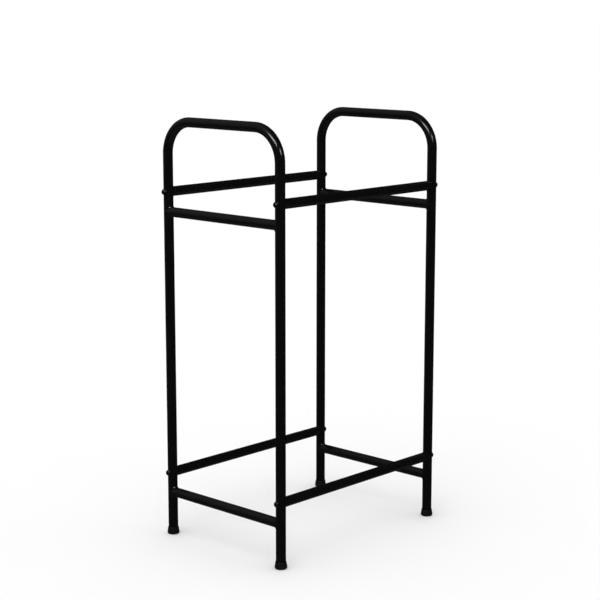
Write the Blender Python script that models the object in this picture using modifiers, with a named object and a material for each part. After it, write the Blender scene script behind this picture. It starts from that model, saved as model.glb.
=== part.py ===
"""Tyre storage rack: two bent-tube end hoops joined by four bolted rails.

Metres, +Z up. +X runs along the rails, the front of the rack faces -Y, and the origin is on the
floor under the middle of the rack. Each end is a hoop with two cross tubes welded between its
legs. Each rail is a tube with a threaded insert in each end, held by a bolt through the leg.
"""

import math

import bpy
import bmesh
from mathutils import Matrix, Vector

# Driving dimensions
TUBE_DIA = 0.025
TUBE_WALL = 0.0012
RACK_HEIGHT = 1.088
HOOP_SPACING = 0.570
LEG_SPACING = 0.390
BEND_RADIUS = 0.082
UPPER_RAIL_Z = 0.898
LOWER_RAIL_Z = 0.1665
UPPER_CROSS_Z = 0.8475
LOWER_CROSS_Z = 0.114
GAP = 0.0003

# Button-head bolt, M8 x 45, with a hexagon socket
BOLT_DIA = 0.0079
BOLT_LENGTH = 0.045
BOLT_TIP_CHAMFER = 0.0008
HEAD_DIA = 0.014
HEAD_HEIGHT = 0.0044
HEAD_LAND = 0.0004
HEAD_TOP_RADIUS = 0.0037
SOCKET_WIDTH = 0.005
SOCKET_DEPTH = 0.0026
BOLT_HOLE_DIA = 0.0086

# Saddle washer: flat under the bolt head, hollow against the leg
WASHER_DIA = 0.016
WASHER_STAND = 0.002

# Threaded insert fixed in the end of a rail
INSERT_LENGTH = 0.012
INSERT_OFFSET = 0.0145
INSERT_BORE_DIA = 0.0085

# Plastic cap on the end of a leg
FOOT_DIA = 0.0312
FOOT_TOP_DIA = 0.0280
FOOT_HEIGHT = 0.018
FOOT_BASE = 0.004
FOOT_EDGE_RADIUS = 0.0042
FOOT_LIP_RADIUS = 0.0008

# Facets
TUBE_RESOLUTION = 8
BEND_STEPS = 8
CUTTER_SIDES = 32
HOLE_SIDES = 12
BOLT_STEPS = 12
DOME_STEPS = 3
FOOT_STEPS = 20
LIP_STEPS = 2
FLARE_STEPS = 3
EDGE_STEPS = 4
INSERT_SIDES = 16
WASHER_SIDES = 16
SMOOTH_ANGLE = math.radians(40)
MERGE_DISTANCE = 0.00001

# Derived
TUBE_R = TUBE_DIA / 2
TOP_Z = RACK_HEIGHT - TUBE_R
HALF_SPACING = HOOP_SPACING / 2
HALF_LEGS = LEG_SPACING / 2
COPE_R = TUBE_R + GAP
WASHER_FACE = TUBE_R + GAP + WASHER_STAND
HEAD_FACE = WASHER_FACE + GAP
LEG_HOLE_CUT = 1.5 * TUBE_DIA

ENDS = {"left": -1, "right": 1}
SIDES = {"front": -1, "rear": 1}
RAIL_LEVELS = {"upper": UPPER_RAIL_Z, "lower": LOWER_RAIL_Z}
CROSS_LEVELS = {"upper": UPPER_CROSS_Z, "lower": LOWER_CROSS_Z}

# Colour, roughness and metallic of each material
FINISHES = {
    "black_powder_coat": ((0.010, 0.010, 0.011), 0.30, 0.0),
    "black_plastic": ((0.012, 0.012, 0.012), 0.60, 0.0),
    "black_bolt": ((0.020, 0.020, 0.021), 0.35, 0.6),
    "zinc_steel": ((0.60, 0.61, 0.62), 0.35, 1.0),
}


def clear_scene():
    for old in list(bpy.data.objects):
        bpy.data.objects.remove(old, do_unlink=True)


def new_collection(name):
    collection = bpy.data.collections.new(name)
    bpy.context.scene.collection.children.link(collection)
    return collection


def make_materials():
    made = {}
    for name, (colour, roughness, metallic) in FINISHES.items():
        material = bpy.data.materials.new(name)
        material.use_nodes = True
        shader = material.node_tree.nodes["Principled BSDF"]
        shader.inputs["Base Color"].default_value = (*colour, 1.0)
        shader.inputs["Roughness"].default_value = roughness
        shader.inputs["Metallic"].default_value = metallic
        made[name] = material
    return made


def add_empty(name, location):
    empty = bpy.data.objects.new(name, None)
    empty.location = location
    rack.objects.link(empty)
    return empty


def add_object(name, mesh, material, parent, location=(0, 0, 0), turn=None):
    obj = bpy.data.objects.new(name, mesh)
    rack.objects.link(obj)
    obj.parent = parent
    obj.location = location
    if turn is not None:
        obj.rotation_euler = turn.to_euler()
    if not mesh.materials:
        mesh.materials.append(finishes[material])
    return obj


def shade_round(mesh):
    mesh.shade_smooth()
    mesh.set_sharp_from_angle(angle=SMOOTH_ANGLE)


def tube_mesh(name, points):
    """Open-ended skin of a round tube along the points, taken from a bevelled curve."""
    curve = bpy.data.curves.new(name, "CURVE")
    curve.dimensions = "3D"
    curve.bevel_depth = TUBE_R
    curve.bevel_resolution = TUBE_RESOLUTION
    curve.use_fill_caps = False
    spline = curve.splines.new("POLY")
    spline.points.add(len(points) - 1)
    for point, place in zip(spline.points, points):
        point.co = (*place, 1.0)
    guide = bpy.data.objects.new(name, curve)
    rack.objects.link(guide)
    depsgraph = bpy.context.evaluated_depsgraph_get()
    mesh = bpy.data.meshes.new_from_object(guide.evaluated_get(depsgraph))
    mesh.name = name
    bpy.data.objects.remove(guide, do_unlink=True)
    bpy.data.curves.remove(curve)
    mesh.materials.clear()
    face_outwards(mesh)
    shade_round(mesh)
    return mesh


def face_outwards(mesh):
    """Turn the open skin's faces away from the tube's axis."""
    work = bmesh.new()
    work.from_mesh(mesh)
    bmesh.ops.remove_doubles(work, verts=work.verts, dist=MERGE_DISTANCE)
    bmesh.ops.recalc_face_normals(work, faces=work.faces)
    work.to_mesh(mesh)
    work.free()


def add_wall(obj):
    """Give an open tube skin its wall, inwards from the outer surface."""
    wall = obj.modifiers.new("wall", "SOLIDIFY")
    wall.thickness = TUBE_WALL
    wall.offset = -1.0
    wall.use_even_offset = True
    wall.use_rim = True


def add_cut(obj, cutter, name):
    cut = obj.modifiers.new(name, "BOOLEAN")
    cut.operation = "DIFFERENCE"
    cut.solver = "EXACT"
    cut.object = cutter


def add_cutter(name, radius, length, sides, location, axis):
    """Closed cylinder along a world axis, centred on its location."""
    mesh = bpy.data.meshes.new(name)
    work = bmesh.new()
    bmesh.ops.create_cone(work, cap_ends=True, segments=sides,
                          radius1=radius, radius2=radius, depth=length)
    work.to_mesh(mesh)
    work.free()
    cutter = bpy.data.objects.new(name, mesh)
    cutters.objects.link(cutter)
    cutter.location = location
    cutter.rotation_euler = Vector(axis).to_track_quat("Z", "Y").to_euler()
    cutter.hide_render = True
    cutter.display_type = "WIRE"
    return cutter


def turned_mesh(name, profile, steps):
    """Closed solid of revolution about Z, from a profile whose two ends are on the axis."""
    flat = bpy.data.meshes.new(name + "_profile")
    edges = [(i, i + 1) for i in range(len(profile) - 1)]
    flat.from_pydata([(radius, 0, height) for radius, height in profile], edges, [])
    guide = bpy.data.objects.new(name + "_profile", flat)
    rack.objects.link(guide)
    screw = guide.modifiers.new("turn", "SCREW")
    screw.axis = "Z"
    screw.steps = steps
    screw.render_steps = steps
    screw.use_merge_vertices = True
    screw.merge_threshold = MERGE_DISTANCE
    depsgraph = bpy.context.evaluated_depsgraph_get()
    mesh = bpy.data.meshes.new_from_object(guide.evaluated_get(depsgraph))
    mesh.name = name
    bpy.data.objects.remove(guide, do_unlink=True)
    shade_round(mesh)
    return mesh


def arc(centre, radius, start, end, steps):
    """Points of a profile arc, with angles in degrees from +X towards +Z."""
    points = []
    for i in range(steps + 1):
        angle = math.radians(start + (end - start) * i / steps)
        points.append((centre[0] + radius * math.cos(angle),
                       centre[1] + radius * math.sin(angle)))
    return points


def hoop_path():
    """Centre line of a hoop: up the front leg, round both bends and down the rear leg."""
    foot_z = FOOT_BASE + GAP
    middle_z = (LOWER_RAIL_Z + UPPER_RAIL_Z) / 2
    bend_y = HALF_LEGS - BEND_RADIUS
    bend_z = TOP_Z - BEND_RADIUS
    points = [(0, -HALF_LEGS, foot_z), (0, -HALF_LEGS, middle_z)]
    for y, z in arc((-bend_y, bend_z), BEND_RADIUS, 180, 90, BEND_STEPS):
        points.append((0, y, z))
    for y, z in arc((bend_y, bend_z), BEND_RADIUS, 90, 0, BEND_STEPS):
        points.append((0, y, z))
    points += [(0, HALF_LEGS, middle_z), (0, HALF_LEGS, foot_z)]
    return points


def make_hoop(end, parent, mesh):
    hoop = add_object(f"{end}_hoop", mesh, "black_powder_coat", parent)
    add_wall(hoop)
    for side, y in SIDES.items():
        for level, z in RAIL_LEVELS.items():
            place = (ENDS[end] * HALF_SPACING, y * HALF_LEGS, z)
            hole = add_cutter(f"{end}_{side}_{level}_bolt_hole", BOLT_HOLE_DIA / 2,
                              LEG_HOLE_CUT, HOLE_SIDES, place, (1, 0, 0))
            add_cut(hoop, hole, f"{side}_{level}_bolt_hole")


def make_cross_tubes(end, parent, leg_cutters):
    for level, z in CROSS_LEVELS.items():
        name = f"{end}_{level}_cross_tube"
        mesh = tube_mesh(name, [(0, -HALF_LEGS, z), (0, HALF_LEGS, z)])
        tube = add_object(name, mesh, "black_powder_coat", parent)
        add_wall(tube)
        for side in SIDES:
            add_cut(tube, leg_cutters[end, side], f"{side}_cope")


def make_rails(leg_cutters):
    for side, y in SIDES.items():
        for level, z in RAIL_LEVELS.items():
            name = f"{side}_{level}_rail"
            mesh = tube_mesh(name, [(-HALF_SPACING, 0, 0), (HALF_SPACING, 0, 0)])
            rail = add_object(name, mesh, "black_powder_coat", None,
                              (0, y * HALF_LEGS, z))
            add_wall(rail)
            for end in ENDS:
                add_cut(rail, leg_cutters[end, side], f"{end}_cope")


def bolt_profile():
    head_r = HEAD_DIA / 2
    shank_r = BOLT_DIA / 2
    dome_width = head_r - HEAD_TOP_RADIUS
    dome_height = HEAD_HEIGHT - HEAD_LAND
    profile = [(0, HEAD_HEIGHT)]
    for i in range(DOME_STEPS + 1):
        angle = math.pi / 2 * (1 - i / DOME_STEPS)
        profile.append((HEAD_TOP_RADIUS + dome_width * math.cos(angle),
                        HEAD_LAND + dome_height * math.sin(angle)))
    profile.append((head_r, 0))
    profile.append((shank_r, 0))
    profile.append((shank_r, BOLT_TIP_CHAMFER - BOLT_LENGTH))
    profile.append((shank_r - BOLT_TIP_CHAMFER, -BOLT_LENGTH))
    profile.append((0, -BOLT_LENGTH))
    return profile


def bolt_mesh():
    """Bolt along Z with its head up, its socket already cut, shared by all the bolts."""
    blank = turned_mesh("bolt_blank", bolt_profile(), BOLT_STEPS)
    body = bpy.data.objects.new("bolt_blank", blank)
    rack.objects.link(body)
    corner_r = SOCKET_WIDTH / math.sqrt(3)
    socket = add_cutter("bolt_socket", corner_r, 2 * SOCKET_DEPTH, 6,
                        (0, 0, HEAD_HEIGHT), (0, 0, 1))
    add_cut(body, socket, "socket")
    depsgraph = bpy.context.evaluated_depsgraph_get()
    mesh = bpy.data.meshes.new_from_object(body.evaluated_get(depsgraph))
    mesh.name = "bolt"
    bpy.data.objects.remove(body, do_unlink=True)
    mesh.materials.clear()
    shade_round(mesh)
    return mesh


def outward_turn(end):
    """Rotation that takes local +Z to the outer side of an end."""
    return Matrix.Rotation(ENDS[end] * math.pi / 2, 3, "Y")


def make_bolts(end, parent, mesh):
    for side, y in SIDES.items():
        for level, z in RAIL_LEVELS.items():
            place = (ENDS[end] * HEAD_FACE, y * HALF_LEGS, z)
            add_object(f"{end}_{side}_{level}_bolt", mesh, "black_bolt", parent,
                       place, outward_turn(end))


def make_washers(end, parent, leg_cutters):
    """Round blanks with a flat outer face, cut hollow by the leg and drilled for the bolt."""
    depth = WASHER_DIA / 2
    for side, y in SIDES.items():
        for level, z in RAIL_LEVELS.items():
            name = f"{end}_{side}_{level}_washer"
            mesh = bpy.data.meshes.new(name)
            work = bmesh.new()
            bmesh.ops.create_cone(work, cap_ends=True, segments=WASHER_SIDES,
                                  radius1=WASHER_DIA / 2, radius2=WASHER_DIA / 2, depth=depth)
            work.to_mesh(mesh)
            work.free()
            shade_round(mesh)
            place = (ENDS[end] * (WASHER_FACE - depth / 2), y * HALF_LEGS, z)
            washer = add_object(name, mesh, "black_bolt", parent, place, outward_turn(end))
            hole_place = (ENDS[end] * (HALF_SPACING + WASHER_FACE), y * HALF_LEGS, z)
            hole = add_cutter(f"{name}_hole", BOLT_HOLE_DIA / 2, TUBE_DIA, HOLE_SIDES,
                              hole_place, (1, 0, 0))
            add_cut(washer, leg_cutters[end, side], "leg_hollow")
            add_cut(washer, hole, "hole")


def insert_mesh():
    """Round plug along Z with a bore through it."""
    outer_r = TUBE_R - TUBE_WALL - GAP
    bore_r = INSERT_BORE_DIA / 2
    half = INSERT_LENGTH / 2
    mesh = bpy.data.meshes.new("insert")
    work = bmesh.new()
    rings = []
    for radius, height in ((bore_r, half), (outer_r, half), (outer_r, -half), (bore_r, -half)):
        ring = bmesh.ops.create_circle(work, cap_ends=False, segments=INSERT_SIDES,
                                       radius=radius,
                                       matrix=Matrix.Translation((0, 0, height)))
        rings.append([e for e in work.edges if all(v in ring["verts"] for v in e.verts)])
    for i in range(len(rings)):
        bmesh.ops.bridge_loops(work, edges=rings[i] + rings[(i + 1) % len(rings)])
    bmesh.ops.recalc_face_normals(work, faces=work.faces)
    work.to_mesh(mesh)
    work.free()
    shade_round(mesh)
    return mesh


def make_inserts(mesh):
    centre = HALF_SPACING - INSERT_OFFSET - INSERT_LENGTH / 2
    for end, x in ENDS.items():
        for side, y in SIDES.items():
            for level, z in RAIL_LEVELS.items():
                place = (x * centre, y * HALF_LEGS, z)
                add_object(f"{end}_{side}_{level}_insert", mesh, "zinc_steel", None,
                           place, outward_turn(end))


def foot_profile():
    """Socket for the leg, then the outside: a lip, a smooth flare and a rounded lower edge."""
    inner_r = TUBE_R + GAP
    top_r = FOOT_TOP_DIA / 2
    widest_r = FOOT_DIA / 2
    lip_z = FOOT_HEIGHT - FOOT_LIP_RADIUS
    profile = [(0, FOOT_BASE), (inner_r, FOOT_BASE), (inner_r, FOOT_HEIGHT)]
    profile += arc((top_r - FOOT_LIP_RADIUS, lip_z), FOOT_LIP_RADIUS, 90, 0, LIP_STEPS)
    for i in range(1, FLARE_STEPS):
        share = i / FLARE_STEPS
        eased = (1 - math.cos(math.pi * share)) / 2
        profile.append((top_r + (widest_r - top_r) * eased,
                        lip_z + (FOOT_EDGE_RADIUS - lip_z) * share))
    profile += arc((widest_r - FOOT_EDGE_RADIUS, FOOT_EDGE_RADIUS), FOOT_EDGE_RADIUS,
                   0, -90, EDGE_STEPS)
    profile.append((0, 0))
    return profile


def make_feet(end, parent, mesh):
    for side, y in SIDES.items():
        add_object(f"{end}_{side}_foot", mesh, "black_plastic", parent,
                   (0, y * HALF_LEGS, 0))


def make_leg_cutters():
    made = {}
    for end, x in ENDS.items():
        for side, y in SIDES.items():
            place = (x * HALF_SPACING, y * HALF_LEGS, RACK_HEIGHT / 2)
            made[end, side] = add_cutter(f"{end}_{side}_leg_space", COPE_R, RACK_HEIGHT,
                                         CUTTER_SIDES, place, (0, 0, 1))
    return made


clear_scene()
rack = new_collection("tyre_storage_rack")
cutters = new_collection("cutters")
finishes = make_materials()
leg_spaces = make_leg_cutters()
hoop_skin = tube_mesh("hoop", hoop_path())
bolt_body = bolt_mesh()
foot_body = turned_mesh("foot", foot_profile(), FOOT_STEPS)
for end_name, direction in ENDS.items():
    end_frame = add_empty(f"{end_name}_end", (direction * HALF_SPACING, 0, 0))
    make_hoop(end_name, end_frame, hoop_skin)
    make_cross_tubes(end_name, end_frame, leg_spaces)
    make_bolts(end_name, end_frame, bolt_body)
    make_washers(end_name, end_frame, leg_spaces)
    make_feet(end_name, end_frame, foot_body)
make_rails(leg_spaces)
make_inserts(insert_mesh())
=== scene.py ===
"""Looks of the tyre storage rack: fine tubes, weld beads, bolts, washers, inserts and feet.

Metres, +Z up, in the frame of the CAD: +X runs along the rails and the front faces -Y. Places
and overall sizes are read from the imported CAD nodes. What a node's box doesn't tell, such as
walls, bends, threads and rounded edges, is set below.
"""

import math

import bmesh
import bpy
import numpy as np
from mathutils import Matrix, Vector


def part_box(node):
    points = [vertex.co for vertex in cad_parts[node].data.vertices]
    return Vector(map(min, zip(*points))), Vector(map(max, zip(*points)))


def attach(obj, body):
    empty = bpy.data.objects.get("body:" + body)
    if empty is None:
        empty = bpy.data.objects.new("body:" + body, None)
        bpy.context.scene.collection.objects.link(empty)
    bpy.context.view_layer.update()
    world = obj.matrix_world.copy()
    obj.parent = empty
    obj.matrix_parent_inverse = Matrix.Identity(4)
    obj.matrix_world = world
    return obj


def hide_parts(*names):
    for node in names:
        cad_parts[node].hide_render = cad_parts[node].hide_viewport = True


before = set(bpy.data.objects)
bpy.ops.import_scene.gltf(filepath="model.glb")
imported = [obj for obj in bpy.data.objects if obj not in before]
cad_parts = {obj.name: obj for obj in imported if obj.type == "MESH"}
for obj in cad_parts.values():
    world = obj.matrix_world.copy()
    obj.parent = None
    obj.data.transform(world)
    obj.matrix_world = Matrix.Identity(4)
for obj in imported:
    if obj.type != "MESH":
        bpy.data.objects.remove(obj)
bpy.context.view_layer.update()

MM = 0.001
TAU = 2 * math.pi
BODY = "root"
SHARP_ANGLE = math.radians(35)

# Names that the CAD nodes are built from
ENDS = {"left": -1, "right": 1}
SIDES = {"front": -1, "rear": 1}
LEVELS = ("upper", "lower")

# Tubes, with rounded edges at their ends
TUBE_WALL = 1.2 * MM
TUBE_SIDES = 64
BEND_RADIUS = 82 * MM
BEND_STEPS = 36
EDGE_OUTER = 0.40 * MM
EDGE_OUTER_STEPS = 4
EDGE_INNER = 0.20 * MM
EDGE_INNER_STEPS = 2
COPE_GAP = 0.3 * MM

# Rings of vertices: along a rail and a cross tube as shares of the half length, above the end
# of a leg, and to either side of each bolt hole
RAIL_RINGS = (-0.9, -0.6, -0.3, 0, 0.3, 0.6, 0.9)
CROSS_RINGS = (-0.85, -0.5, 0, 0.5, 0.85)
LEG_END_RINGS = (1 * MM, 20 * MM)
HOLE_RING_OFFSET = 10 * MM

# Bolt holes, drilled through both walls of a leg
HOLE_RADIUS = 4.3 * MM
HOLE_SIDES = 48
DRILL_LENGTH = 40 * MM

# Weld beads, along the seam between a cross tube and a leg. Reach and bulge are those above and
# below the tube, and the shares are what is left of them at its sides. The bow is the phase, in
# radians, by which the ripples curve in the middle of the bead.
BEAD_REACH = 4.2 * MM
BEAD_REACH_SHARE = 0.62
BEAD_BULGE = 0.4 * MM
BEAD_BULGE_SHARE = 0.55
BEAD_SINK = 0.15 * MM
BEAD_PITCH = 1.5 * MM
BEAD_RIPPLE = 0.05 * MM
BEAD_RIPPLE_BOW = 1.6
BEAD_ROOT = 0.9 * MM
BEAD_ROUNDING = 0.16
BEAD_STEPS = 256
BEAD_POINTS = 7

# Button-head bolt: a dome on a low land with a rounded rim, and a hexagon socket
HEAD_HEIGHT = 4.4 * MM
HEAD_TOP_RADIUS = 3.7 * MM
HEAD_LAND = 0.45 * MM
HEAD_DOME_STEPS = 10
HEAD_RIM = 0.25 * MM
HEAD_FILLET = 0.4 * MM
HEAD_FILLET_STEPS = 3
SOCKET_HALF_WIDTH = 2.5 * MM
SOCKET_RIM = 3.05 * MM
SOCKET_RIM_SLOPE = 0.6
SOCKET_DEPTH = 2.6 * MM
SOCKET_CONE = 0.7 * MM
BOLT_SIDES = 48

# Thread of the bolt and its insert. Half the root's width and one flank are shares of the pitch.
THREAD_PITCH = 1.25 * MM
THREAD_CREST = 3.95 * MM
THREAD_ROOT = 3.35 * MM
THREAD_HALF_ROOT = 0.10
THREAD_FLANK = 0.28
THREAD_LENGTH = 22 * MM
THREAD_POINT = 0.15 * MM
THREAD_RUN_OUT = 1.5 * MM
THREAD_RUN_OUT_SLOPE = 0.5
THREAD_TO_SHANK = 0.4 * MM
THREAD_CLEARANCE = 0.12 * MM
THREAD_RINGS_PER_TURN = 6

# Saddle washer. The middle of a rounded edge lies inside the corner by a share of its width.
WASHER_EDGE = 0.35 * MM
WASHER_EDGE_STEPS = 4
WASHER_EDGE_MIDDLE = 0.3
WASHER_BACK_RINGS = 4

# Threaded insert
INSERT_CHAMFER = 0.6 * MM
INSERT_LEAD_IN = 0.15 * MM

# Foot cap, with a socket for the leg and a round groove in its underside
FOOT_SOCKET_RADIUS = 12.8 * MM
FOOT_SOCKET_CHAMFER = 0.4 * MM
FOOT_MOUTH_CHAMFER = 0.3 * MM
FOOT_BASE = 4.0 * MM
FOOT_TOP_RADIUS = 14.0 * MM
FOOT_LIP = 0.8 * MM
FOOT_LIP_STEPS = 5
FOOT_FLARE_STEPS = 12
FOOT_EDGE = 4.2 * MM
FOOT_EDGE_STEPS = 9
FOOT_GROOVE_RADIUS = 8.0 * MM
FOOT_GROOVE_HALF_MOUTH = 0.9 * MM
FOOT_GROOVE_HALF_FLOOR = 0.5 * MM
FOOT_GROOVE_DEPTH = 0.5 * MM
FOOT_SIDES = 64

# Most of a noise texture's values lie between these
NOISE_LOW = 0.3
NOISE_HIGH = 0.7

# Floor
FLOOR_SIZE = 400
FLOOR_COLOUR = (0.92, 0.92, 0.92)
FLOOR_ROUGHNESS = 0.9

# World as seen by the camera and by diffuse surfaces
HORIZON_WHITE = 1
STUDIO_WHITE = 0.95

# World as seen by gloss surfaces: dark cards, with a pale card and the floor's glow each fading
# in between two cosines of the angle from its own direction
CARD_DARK = 0.010
CARD_PALE = 0.16
CARD_DIRECTION = Vector((-0.38, 0.62, 0.69)).normalized()
CARD_COSINES = (0.50, 0.95)
GLOW_PALE = 0.06
GLOW_DIRECTION = (0, 0, -1)
GLOW_COSINES = (0.35, 0.75)

# Lights: the point that the softboxes face, and a sun as the key
AIM = Vector((0, 0, 0.85))
KEY_STRENGTH = 0.6
KEY_SPREAD = math.radians(50)
KEY_DIRECTION = Vector((0.75, 0.25, -1))

# Camera, with its tilt down from level and its turn from +Y in degrees
LENS = 94.9
SENSOR_WIDTH = 36
CAMERA_PLACE = (-2.950, -2.759, 1.351)
CAMERA_TILT = 10.44
CAMERA_TURN = -46.83


# ---------------------------------------------------------------- frame

def middle(node):
    """Middle of a CAD node's box."""
    low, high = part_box(node)
    return (low + high) / 2


def extent(node):
    """Size of a CAD node's box along each axis."""
    low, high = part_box(node)
    return high - low


hoop_low, hoop_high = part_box("right_hoop")
TUBE_RADIUS = (hoop_high.x - hoop_low.x) / 2
HALF_SPACING = (hoop_high.x + hoop_low.x) / 2
HALF_LEGS = hoop_high.y - TUBE_RADIUS
LEG_BOTTOM = hoop_low.z
BAR_Z = hoop_high.z - TUBE_RADIUS
RAIL_Z = {level: middle(f"front_{level}_rail").z for level in LEVELS}
CROSS_Z = {level: middle(f"left_{level}_cross_tube").z for level in LEVELS}
COPE_RADIUS = TUBE_RADIUS + COPE_GAP


# ---------------------------------------------------------------- mesh helpers

def skin(rings, loop=False, cap_start=None, cap_end=None):
    """Quads between equal closed rings. A loop joins the last ring to the first, and a cap is
    the point that closes an end as a fan."""
    rings = np.asarray(rings, float)
    count, sides = rings.shape[:2]
    work = bmesh.new()
    verts = [[work.verts.new(point) for point in ring] for ring in rings]
    pairs = [(i, i + 1) for i in range(count - 1)]
    if loop:
        pairs.append((count - 1, 0))
    for a, b in pairs:
        for j in range(sides):
            k = (j + 1) % sides
            work.faces.new((verts[a][j], verts[a][k], verts[b][k], verts[b][j]))
    for ring, point in ((verts[0], cap_start), (verts[-1], cap_end)):
        if point is not None:
            centre = work.verts.new(point)
            for j in range(sides):
                work.faces.new((ring[j], ring[(j + 1) % sides], centre))
    bmesh.ops.recalc_face_normals(work, faces=work.faces)
    mesh = bpy.data.meshes.new("skin")
    work.to_mesh(mesh)
    work.free()
    return mesh


def add_piece(name, mesh, matrix, material, node=None):
    """Move a mesh to its place, ride it on the rack and let it stand for its CAD node."""
    mesh.name = name
    mesh.transform(matrix)
    mesh.shade_smooth()
    mesh.set_sharp_from_angle(angle=SHARP_ANGLE)
    mesh.materials.append(material)
    piece = bpy.data.objects.new(name, mesh)
    bpy.context.scene.collection.objects.link(piece)
    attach(piece, BODY)
    if node is not None:
        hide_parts(node)


def circle(sides):
    """Evenly spaced angles once round."""
    return np.arange(sides) * TAU / sides


def fillet(start_deg, end_deg, steps):
    """Unit-circle points between two angles."""
    return [(math.cos(math.radians(a)), math.sin(math.radians(a)))
            for a in np.linspace(start_deg, end_deg, steps + 1)]


# ---------------------------------------------------------------- tubes

def end_lip():
    """Radius and set-back of each ring round a tube's end, from the outside to the inside."""
    inner = TUBE_RADIUS - TUBE_WALL
    lip = [(TUBE_RADIUS - EDGE_OUTER * (1 - c), EDGE_OUTER * (1 - s))
           for c, s in fillet(0, 90, EDGE_OUTER_STEPS)]
    lip += [(inner + EDGE_INNER * (1 - c), EDGE_INNER * (1 - s))
            for c, s in fillet(90, 0, EDGE_INNER_STEPS)]
    return lip


def coped_tube(half_length, stations):
    """Tube along local X whose two ends are hollowed to fit the legs, which stand along Z."""
    phi = circle(TUBE_SIDES)
    lip = end_lip()

    def ring(radius, x):
        return np.stack([x + 0 * phi, radius * np.cos(phi), radius * np.sin(phi)], 1)

    def end_ring(radius, set_back, sign):
        saddle = np.sqrt(COPE_RADIUS ** 2 - (radius * np.cos(phi)) ** 2)
        return ring(radius, sign * (half_length - saddle - set_back))

    rings = [end_ring(radius, back, -1) for radius, back in reversed(lip)]
    rings += [ring(TUBE_RADIUS, x) for x in stations]
    rings += [end_ring(radius, back, 1) for radius, back in lip]
    rings += [ring(TUBE_RADIUS - TUBE_WALL, x) for x in reversed(stations)]
    return skin(rings, loop=True)


def hoop_path():
    """Points and tangents of the hoop's centre line, in its own YZ plane."""
    bend_y = HALF_LEGS - BEND_RADIUS
    bend_z = BAR_Z - BEND_RADIUS
    stops = [LEG_BOTTOM + rise for rise in LEG_END_RINGS]
    for level in reversed(LEVELS):
        stops += [RAIL_Z[level] - HOLE_RING_OFFSET, RAIL_Z[level] + HOLE_RING_OFFSET]
    leg = [((-HALF_LEGS, z), (0, 1)) for z in stops]
    bend = [((-bend_y - BEND_RADIUS * c, bend_z + BEND_RADIUS * s), (s, c))
            for c, s in fillet(0, 90, BEND_STEPS)]
    half = leg + bend
    other = [((-y, z), (ty, -tz)) for (y, z), (ty, tz) in reversed(half)]
    return half + other


def hoop_mesh():
    """Tube bent to an inverted U, open at both ends, in the YZ plane."""
    phi = circle(TUBE_SIDES)

    def ring(point, tangent, radius):
        (y, z), (ty, tz) = point, tangent
        across = radius * np.cos(phi)
        out = radius * np.sin(phi)
        return np.stack([across, y - tz * out, z + ty * out], 1)

    path = hoop_path()
    lip = end_lip()
    start = [ring((-HALF_LEGS, LEG_BOTTOM + back), (0, 1), radius)
             for radius, back in reversed(lip)]
    finish = [ring((HALF_LEGS, LEG_BOTTOM + back), (0, -1), radius) for radius, back in lip]
    outside = [ring(p, t, TUBE_RADIUS) for p, t in path]
    inside = [ring(p, t, TUBE_RADIUS - TUBE_WALL) for p, t in reversed(path)]
    return skin(start + outside + finish + inside, loop=True)


def drill(mesh, places):
    """Cut a round hole along X at each place."""
    body = bpy.data.objects.new("undrilled", mesh)
    bpy.context.scene.collection.objects.link(body)
    bits = []
    for place in places:
        bpy.ops.mesh.primitive_cylinder_add(vertices=HOLE_SIDES, radius=HOLE_RADIUS,
                                            depth=DRILL_LENGTH, location=place,
                                            rotation=(0, math.pi / 2, 0))
        bit = bpy.context.object
        cut = body.modifiers.new("hole", "BOOLEAN")
        cut.operation = "DIFFERENCE"
        cut.solver = "EXACT"
        cut.object = bit
        bits.append(bit)
    depsgraph = bpy.context.evaluated_depsgraph_get()
    drilled = bpy.data.meshes.new_from_object(body.evaluated_get(depsgraph))
    for used in bits + [body]:
        bpy.data.objects.remove(used, do_unlink=True)
    return drilled


def make_tubes(material):
    holes = [(0, y * HALF_LEGS, z) for y in SIDES.values() for z in RAIL_Z.values()]
    for end, x in ENDS.items():
        place = Matrix.Translation((x * HALF_SPACING, 0, 0))
        add_piece(f"{end}_hoop_tube", drill(hoop_mesh(), holes), place, material,
                  f"{end}_hoop")
    rail_stations = [share * HALF_SPACING for share in RAIL_RINGS]
    for side, y in SIDES.items():
        for level in LEVELS:
            rail = coped_tube(HALF_SPACING, rail_stations)
            place = Matrix.Translation((0, y * HALF_LEGS, RAIL_Z[level]))
            add_piece(f"{side}_{level}_rail_tube", rail, place, material,
                      f"{side}_{level}_rail")
    cross_stations = [share * HALF_LEGS for share in CROSS_RINGS]
    quarter_turn = Matrix.Rotation(math.pi / 2, 4, "Z")
    for end, x in ENDS.items():
        for level in LEVELS:
            cross = coped_tube(HALF_LEGS, cross_stations)
            place = Matrix.Translation((x * HALF_SPACING, 0, CROSS_Z[level]))
            add_piece(f"{end}_{level}_cross_tube_skin", cross, place @ quarter_turn, material,
                      f"{end}_{level}_cross_tube")


# ---------------------------------------------------------------- weld beads

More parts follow.
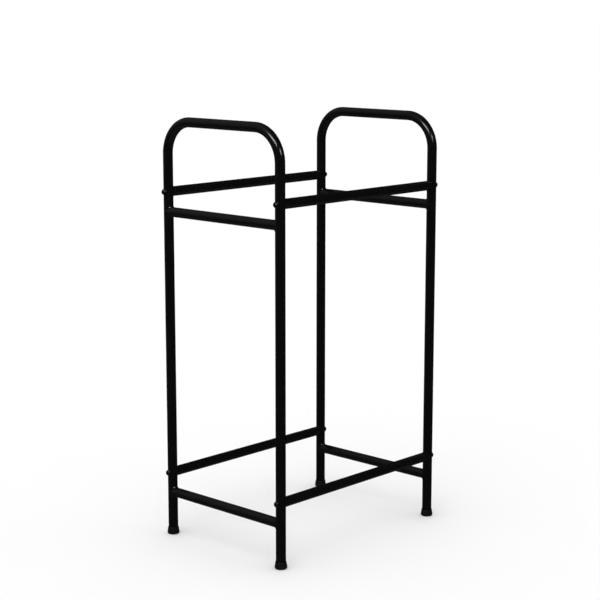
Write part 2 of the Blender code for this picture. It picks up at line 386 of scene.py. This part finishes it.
def bead_mesh():
    """Rippled fillet round the saddle seam of a tube along +Y that meets a leg along Z."""
    r = TUBE_RADIUS
    sunk = r - BEAD_SINK
    rings = []
    travelled = 0.0
    last = None
    for angle in circle(BEAD_STEPS):
        c, s = math.cos(angle), math.sin(angle)

        # Equal round tubes meet where y = r * |s|, with its kinks at the sides rounded off
        rounded = math.hypot(s, BEAD_ROUNDING)
        up = s / rounded
        seam = Vector((r * c, r * (rounded - BEAD_ROUNDING / 2), r * s))
        if last is not None:
            travelled += (seam - last).length
        last = seam

        # The bead rises between the two surfaces, from a toe on the leg to a toe on the tube
        leg_normal = Vector((seam.x, seam.y, 0)).normalized()
        rise = (leg_normal + Vector((c, 0, s))).normalized()
        reach = BEAD_REACH * (BEAD_REACH_SHARE + (1 - BEAD_REACH_SHARE) * abs(s))
        bulge = BEAD_BULGE * (BEAD_BULGE_SHARE + (1 - BEAD_BULGE_SHARE) * abs(s))
        toe = seam + Vector((0, -reach * (1 - abs(up)), up * reach * abs(up)))
        flat = Vector((toe.x, toe.y, 0)).normalized() * sunk
        leg_toe = Vector((flat.x, flat.y, toe.z))
        spoke = Vector((c, 0, s)) * sunk
        tube_toe = Vector((spoke.x, seam.y + reach, spoke.z))

        # One rippled arch from toe to toe, closed by a root under the seam
        ring = []
        for share in np.linspace(0, 1, BEAD_POINTS):
            arch = math.sin(math.pi * share)
            wave = math.cos(TAU * travelled / BEAD_PITCH + BEAD_RIPPLE_BOW * arch)
            lift = (bulge + BEAD_RIPPLE * wave) * arch
            ring.append(leg_toe.lerp(tube_toe, share) + rise * lift)
        ring.append(seam - rise * BEAD_ROOT)
        rings.append(ring)
    return skin(rings, loop=True)


def make_beads(material):
    for end, x in ENDS.items():
        for side, y in SIDES.items():
            for level in LEVELS:
                place = Matrix.Translation((x * HALF_SPACING, y * HALF_LEGS, CROSS_Z[level]))
                turn = Matrix.Rotation(math.pi if y > 0 else 0, 4, "Z")
                add_piece(f"{end}_{side}_{level}_weld", bead_mesh(), place @ turn, material)


# ---------------------------------------------------------------- fasteners

def turned(profile, sides, **ends):
    """Rings about local Z; a profile entry is (radius, height), each a number or per angle."""
    theta = circle(sides)
    rings = []
    for radius, height in profile:
        rings.append(np.stack([radius * np.cos(theta), radius * np.sin(theta),
                               height + 0 * theta], 1))
    return skin(rings, **ends)


def thread_radius(height, theta, grow=0):
    """Radius of a right-hand thread at a height and angle, with flat crests and roots."""
    phase = np.mod(height / THREAD_PITCH - theta / TAU, 1.0)
    flank = np.clip((np.abs(phase - 0.5) - THREAD_HALF_ROOT) / THREAD_FLANK, 0, 1)
    return THREAD_ROOT + (THREAD_CREST - THREAD_ROOT) * flank + grow


def bolt_mesh(seat, tip):
    """Bolt along local Z, with its seat and tip at these heights and its head up."""
    theta = circle(BOLT_SIDES)
    top = seat + HEAD_HEIGHT
    head_radius = extent("left_front_upper_bolt").z / 2
    dome_width = head_radius - HEAD_TOP_RADIUS
    dome_height = HEAD_HEIGHT - HEAD_LAND
    hexagon = SOCKET_HALF_WIDTH / np.cos(np.mod(theta, TAU / 6) - TAU / 12)
    thread_end = tip + THREAD_LENGTH
    profile = []

    # Thread, with a pointed tip and a run-out, then the shank and the fillet under the head
    steps = round(THREAD_LENGTH / THREAD_PITCH * THREAD_RINGS_PER_TURN)
    for z in np.linspace(tip, thread_end, steps + 1):
        point_cone = THREAD_ROOT - THREAD_POINT + (z - tip)
        run_out = THREAD_ROOT + (z - thread_end + THREAD_RUN_OUT) * THREAD_RUN_OUT_SLOPE
        radius = np.maximum(thread_radius(z, theta), min(run_out, THREAD_CREST))
        profile.append((np.minimum(radius, point_cone), z))
    profile.append((THREAD_CREST, thread_end + THREAD_TO_SHANK))
    profile += [(THREAD_CREST + HEAD_FILLET * (1 - c), seat - HEAD_FILLET * (1 - s))
                for c, s in fillet(0, 90, HEAD_FILLET_STEPS)]

    # Head, from its rim over the dome to the socket
    profile += [(head_radius - HEAD_RIM + HEAD_RIM * c, seat + HEAD_RIM + HEAD_RIM * s)
                for c, s in fillet(-90, 0, HEAD_FILLET_STEPS)]
    profile += [(HEAD_TOP_RADIUS + dome_width * c, seat + HEAD_LAND + dome_height * s)
                for c, s in fillet(0, 90, HEAD_DOME_STEPS)]
    profile.append((SOCKET_RIM, top))
    profile.append((hexagon, top - (SOCKET_RIM - hexagon) * SOCKET_RIM_SLOPE))
    profile.append((hexagon, top - SOCKET_DEPTH))
    return turned(profile, BOLT_SIDES, cap_start=(0, 0, tip),
                  cap_end=(0, 0, top - SOCKET_DEPTH - SOCKET_CONE))


def insert_mesh(outer, inner):
    """Round plug along local Z between two heights, with a tapped bore."""
    theta = circle(BOLT_SIDES)
    radius = extent("left_front_upper_insert").y / 2
    profile = [(radius - INSERT_CHAMFER, inner), (radius, inner + INSERT_CHAMFER),
               (radius, outer - INSERT_CHAMFER), (radius - INSERT_CHAMFER, outer)]
    steps = round((outer - inner) / THREAD_PITCH * THREAD_RINGS_PER_TURN)
    mouth = THREAD_CREST + THREAD_CLEARANCE + INSERT_LEAD_IN
    for z in np.linspace(outer, inner, steps + 1):
        depth = min(outer - z, z - inner)
        lead_in = mouth - depth
        profile.append((np.maximum(thread_radius(z, theta, THREAD_CLEARANCE), lead_in), z))
    return turned(profile, BOLT_SIDES, loop=True)


def washer_mesh(face):
    """Saddle washer round local Z: flat at the height of its face, hollow against the leg."""
    theta = circle(BOLT_SIDES)
    outer = extent("left_front_upper_washer").y / 2
    inner = HOLE_RADIUS
    edge = WASHER_EDGE
    cut = WASHER_EDGE * WASHER_EDGE_MIDDLE

    def leg(radius):
        return np.sqrt(COPE_RADIUS ** 2 - (radius * np.sin(theta)) ** 2)

    profile = [(inner, face - edge), (inner + cut, face - cut), (inner + edge, face)]
    profile += [(outer - edge + edge * c, face - edge + edge * s)
                for c, s in fillet(90, 0, WASHER_EDGE_STEPS)]
    profile += [(outer, leg(outer) + edge), (outer - cut, leg(outer) + cut),
                (outer - edge, leg(outer - edge))]
    for share in np.linspace(1, 0, WASHER_BACK_RINGS + 1)[1:]:
        radius = inner + (outer - inner) * share
        profile.append((radius, leg(radius)))
    return turned(profile, BOLT_SIDES, loop=True)


def make_fasteners(black, zinc):
    """Bolts, washers and inserts; local Z runs outward along the rails, from a leg's axis."""
    low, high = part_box("right_front_upper_bolt")
    seat = high.x - HEAD_HEIGHT - HALF_SPACING
    tip = low.x - HALF_SPACING
    plug_low, plug_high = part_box("right_front_upper_insert")
    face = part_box("right_front_upper_washer")[1].x - HALF_SPACING
    for end, x in ENDS.items():
        outward = Matrix.Rotation(x * math.pi / 2, 4, "Y")
        for side, y in SIDES.items():
            for level in LEVELS:
                place = Matrix.Translation((x * HALF_SPACING, y * HALF_LEGS, RAIL_Z[level]))
                place = place @ outward
                corner = f"{end}_{side}_{level}"
                add_piece(f"{corner}_bolt_m8", bolt_mesh(seat, tip), place, black,
                          f"{corner}_bolt")
                add_piece(f"{corner}_saddle", washer_mesh(face), place, black,
                          f"{corner}_washer")
                plug = insert_mesh(plug_high.x - HALF_SPACING, plug_low.x - HALF_SPACING)
                add_piece(f"{corner}_tapped_insert", plug, place, zinc,
                          f"{corner}_insert")


# ---------------------------------------------------------------- feet

def foot_mesh():
    """Flared cap round local Z, from its socket over the top edge and down to its underside."""
    height = extent("left_front_foot").z
    widest = extent("left_front_foot").x / 2
    lip_z = height - FOOT_LIP
    profile = [(FOOT_SOCKET_RADIUS - FOOT_SOCKET_CHAMFER, FOOT_BASE),
               (FOOT_SOCKET_RADIUS, FOOT_BASE + FOOT_SOCKET_CHAMFER),
               (FOOT_SOCKET_RADIUS, height - FOOT_MOUTH_CHAMFER),
               (FOOT_SOCKET_RADIUS + FOOT_MOUTH_CHAMFER, height)]
    profile += [(FOOT_TOP_RADIUS - FOOT_LIP + FOOT_LIP * c, lip_z + FOOT_LIP * s)
                for c, s in fillet(90, 0, FOOT_LIP_STEPS)]
    for share in np.linspace(0, 1, FOOT_FLARE_STEPS + 1)[1:-1]:
        eased = (1 - math.cos(math.pi * share)) / 2
        profile.append((FOOT_TOP_RADIUS + (widest - FOOT_TOP_RADIUS) * eased,
                        lip_z + (FOOT_EDGE - lip_z) * share))
    profile += [(widest - FOOT_EDGE + FOOT_EDGE * c, FOOT_EDGE + FOOT_EDGE * s)
                for c, s in fillet(0, -90, FOOT_EDGE_STEPS)]
    profile += [(FOOT_GROOVE_RADIUS + FOOT_GROOVE_HALF_MOUTH, 0),
                (FOOT_GROOVE_RADIUS + FOOT_GROOVE_HALF_FLOOR, FOOT_GROOVE_DEPTH),
                (FOOT_GROOVE_RADIUS - FOOT_GROOVE_HALF_FLOOR, FOOT_GROOVE_DEPTH),
                (FOOT_GROOVE_RADIUS - FOOT_GROOVE_HALF_MOUTH, 0)]
    return turned(profile, FOOT_SIDES, cap_start=(0, 0, FOOT_BASE), cap_end=(0, 0, 0))


def make_feet(material):
    for end, x in ENDS.items():
        for side, y in SIDES.items():
            place = Matrix.Translation((x * HALF_SPACING, y * HALF_LEGS, 0))
            add_piece(f"{end}_{side}_foot_cap", foot_mesh(), place, material,
                      f"{end}_{side}_foot")


# ---------------------------------------------------------------- materials

def new_material(name, colour, roughness, metallic=0):
    """Principled material with plain values, which a texture may then vary."""
    material = bpy.data.materials.new(name)
    material.use_nodes = True
    shader = material.node_tree.nodes["Principled BSDF"]
    shader.inputs["Base Color"].default_value = (*colour, 1)
    shader.inputs["Roughness"].default_value = roughness
    shader.inputs["Metallic"].default_value = metallic
    return material, shader


def noise(tree, coords, scale, detail, roughness=0.5):
    """Value of a noise texture."""
    node = tree.nodes.new("ShaderNodeTexNoise")
    node.inputs["Scale"].default_value = scale
    node.inputs["Detail"].default_value = detail
    node.inputs["Roughness"].default_value = roughness
    tree.links.new(coords, node.inputs["Vector"])
    return node.outputs["Fac"]


def spread(tree, value, low, high, start=NOISE_LOW, end=NOISE_HIGH):
    """Map a value that runs from start to end to the range from low to high."""
    node = tree.nodes.new("ShaderNodeMapRange")
    node.inputs["From Min"].default_value = start
    node.inputs["From Max"].default_value = end
    node.inputs["To Min"].default_value = low
    node.inputs["To Max"].default_value = high
    tree.links.new(value, node.inputs["Value"])
    return node.outputs["Result"]


def two_tone(tree, value, dark, light):
    """Colour between dark and light, as a value goes from 0 to 1."""
    node = tree.nodes.new("ShaderNodeMix")
    node.data_type = "RGBA"
    node.inputs["A"].default_value = (*dark, 1)
    node.inputs["B"].default_value = (*light, 1)
    tree.links.new(value, node.inputs["Factor"])
    return node.outputs["Result"]


def bump(tree, height, distance, under=None):
    """Normal of a surface with this relief, over the normal of a finer one if there is one."""
    node = tree.nodes.new("ShaderNodeBump")
    node.inputs["Strength"].default_value = 1
    node.inputs["Distance"].default_value = distance
    tree.links.new(height, node.inputs["Height"])
    if under is not None:
        tree.links.new(under, node.inputs["Normal"])
    return node.outputs["Normal"]


def object_coords(tree):
    return tree.nodes.new("ShaderNodeTexCoord").outputs["Object"]


def powder_coat(name, roughness, peel_depth):
    """Gloss black powder coat: orange peel, fine grain and slightly uneven gloss."""
    material, shader = new_material(name, colour=(0.0025, 0.0025, 0.0026), roughness=0.2)
    tree = material.node_tree
    coords = object_coords(tree)
    cloud = noise(tree, coords, scale=28, detail=4, roughness=0.6)
    peel = noise(tree, coords, scale=520, detail=1.5, roughness=0.45)
    grain = noise(tree, coords, scale=3200, detail=2)
    colour = two_tone(tree, cloud, dark=(0.0018, 0.0018, 0.0019),
                      light=(0.0032, 0.0032, 0.0033))
    tree.links.new(colour, shader.inputs["Base Color"])
    tree.links.new(spread(tree, cloud, *roughness), shader.inputs["Roughness"])
    grained = bump(tree, grain, distance=0.006 * MM)
    tree.links.new(bump(tree, peel, peel_depth, under=grained), shader.inputs["Normal"])
    return material


def foot_plastic():
    """Moulded black polyethylene with a fine spark-eroded grain."""
    material, shader = new_material("moulded_black_plastic", colour=(0.004, 0.004, 0.004),
                                    roughness=0.45)
    tree = material.node_tree
    coords = object_coords(tree)
    cloud = noise(tree, coords, scale=45, detail=3, roughness=0.6)
    grain = noise(tree, coords, scale=2600, detail=3, roughness=0.6)
    colour = two_tone(tree, cloud, dark=(0.0028, 0.0028, 0.0028),
                      light=(0.0052, 0.0052, 0.0050))
    tree.links.new(colour, shader.inputs["Base Color"])
    tree.links.new(spread(tree, cloud, low=0.38, high=0.52), shader.inputs["Roughness"])
    tree.links.new(bump(tree, grain, distance=0.03 * MM), shader.inputs["Normal"])
    return material


def black_steel():
    """Black-finished steel of the bolts and washers, a little worn to grey in spots."""
    material, shader = new_material("black_finished_steel", colour=(0.075, 0.075, 0.077),
                                    roughness=0.32, metallic=1)
    tree = material.node_tree
    coords = object_coords(tree)
    cloud = noise(tree, coords, scale=160, detail=4, roughness=0.65)
    grain = noise(tree, coords, scale=4200, detail=2)
    colour = two_tone(tree, cloud, dark=(0.052, 0.052, 0.054), light=(0.098, 0.098, 0.100))
    tree.links.new(colour, shader.inputs["Base Color"])
    tree.links.new(spread(tree, cloud, low=0.24, high=0.40), shader.inputs["Roughness"])
    tree.links.new(bump(tree, grain, distance=0.010 * MM), shader.inputs["Normal"])
    return material


def zinc_steel():
    """Bright zinc plate on the inserts, with its crystalline blotches."""
    material, shader = new_material("zinc_plated_steel", colour=(0.59, 0.60, 0.61),
                                    roughness=0.33, metallic=1)
    tree = material.node_tree
    coords = object_coords(tree)
    cloud = noise(tree, coords, scale=300, detail=3, roughness=0.6)
    colour = two_tone(tree, cloud, dark=(0.50, 0.51, 0.53), light=(0.68, 0.68, 0.68))
    tree.links.new(colour, shader.inputs["Base Color"])
    tree.links.new(spread(tree, cloud, low=0.25, high=0.42), shader.inputs["Roughness"])
    return material


# ---------------------------------------------------------------- studio

def make_floor():
    """Pale floor that takes soft shadows and doesn't show in gloss surfaces."""
    bpy.ops.mesh.primitive_plane_add(size=FLOOR_SIZE)
    floor = bpy.context.object
    floor.name = "floor"
    material, shader = new_material("pale_floor", FLOOR_COLOUR, FLOOR_ROUGHNESS)
    shader.inputs["Specular IOR Level"].default_value = 0
    floor.data.materials.append(material)
    floor.visible_glossy = False


def make_world():
    """White studio that gloss surfaces see as dark cards, a pale card high behind on the left
    and a faint glow from below."""
    world = bpy.data.worlds.new("studio")
    world.use_nodes = True
    tree = world.node_tree
    background = tree.nodes["Background"]
    background.inputs["Color"].default_value = (1, 1, 1, 1)
    rays = tree.nodes.new("ShaderNodeLightPath")
    direction = tree.nodes.new("ShaderNodeTexCoord").outputs["Generated"]

    def cosine_from(axis):
        node = tree.nodes.new("ShaderNodeVectorMath")
        node.operation = "DOT_PRODUCT"
        node.inputs[1].default_value = axis
        tree.links.new(direction, node.inputs[0])
        return node.outputs["Value"]

    card = spread(tree, cosine_from(CARD_DIRECTION), CARD_DARK, CARD_PALE, *CARD_COSINES)
    glow = spread(tree, cosine_from(GLOW_DIRECTION), 0, GLOW_PALE, *GLOW_COSINES)
    cards = tree.nodes.new("ShaderNodeMath")
    cards.operation = "ADD"
    tree.links.new(card, cards.inputs[0])
    tree.links.new(glow, cards.inputs[1])
    lit = tree.nodes.new("ShaderNodeMix")
    lit.inputs["A"].default_value = STUDIO_WHITE
    tree.links.new(cards.outputs["Value"], lit.inputs["B"])
    tree.links.new(rays.outputs["Is Glossy Ray"], lit.inputs["Factor"])
    seen = tree.nodes.new("ShaderNodeMix")
    tree.links.new(lit.outputs["Result"], seen.inputs["A"])
    seen.inputs["B"].default_value = HORIZON_WHITE
    tree.links.new(rays.outputs["Is Camera Ray"], seen.inputs["Factor"])
    tree.links.new(seen.outputs["Result"], background.inputs["Strength"])
    bpy.context.scene.world = world


def add_softbox(name, place, size, radiance):
    """Area light that faces the rack from a place, seen only by gloss surfaces."""
    light = bpy.data.lights.new(name, "AREA")
    light.shape = "RECTANGLE"
    light.size, light.size_y = size
    light.energy = radiance * math.pi * size[0] * size[1]
    lamp = bpy.data.objects.new(name, light)
    lamp.location = place
    lamp.rotation_euler = (AIM - Vector(place)).to_track_quat("-Z", "Y").to_euler()
    lamp.visible_camera = False
    lamp.visible_diffuse = False
    bpy.context.scene.collection.objects.link(lamp)


def add_key():
    """Broad even light from the upper left for the soft shadows on the floor."""
    light = bpy.data.lights.new("key", "SUN")
    light.energy = KEY_STRENGTH
    light.angle = KEY_SPREAD
    lamp = bpy.data.objects.new("key", light)
    lamp.rotation_euler = KEY_DIRECTION.to_track_quat("-Z", "Y").to_euler()
    lamp.visible_glossy = False
    bpy.context.scene.collection.objects.link(lamp)


def make_lights():
    add_softbox("softbox_left", place=(-2.10, -0.70, 2.70), size=(1.8, 0.6), radiance=11)
    add_softbox("softbox_front", place=(-0.25, -1.70, 1.75), size=(0.5, 0.35), radiance=9)
    add_key()


def make_camera():
    data = bpy.data.cameras.new("camera")
    data.lens = LENS
    data.sensor_width = SENSOR_WIDTH
    camera = bpy.data.objects.new("camera", data)
    camera.location = CAMERA_PLACE
    camera.rotation_euler = (math.radians(90 - CAMERA_TILT), 0, math.radians(CAMERA_TURN))
    bpy.context.scene.collection.objects.link(camera)
    bpy.context.scene.camera = camera


make_camera()
make_floor()
make_world()
make_lights()
make_tubes(powder_coat("gloss_black_powder_coat", roughness=(0.14, 0.22),
                       peel_depth=0.045 * MM))
make_beads(powder_coat("glossier_coat_on_welds", roughness=(0.07, 0.12),
                       peel_depth=0.020 * MM))
make_fasteners(black_steel(), zinc_steel())
make_feet(foot_plastic())
bpy.context.scene.view_settings.view_transform = "Standard"
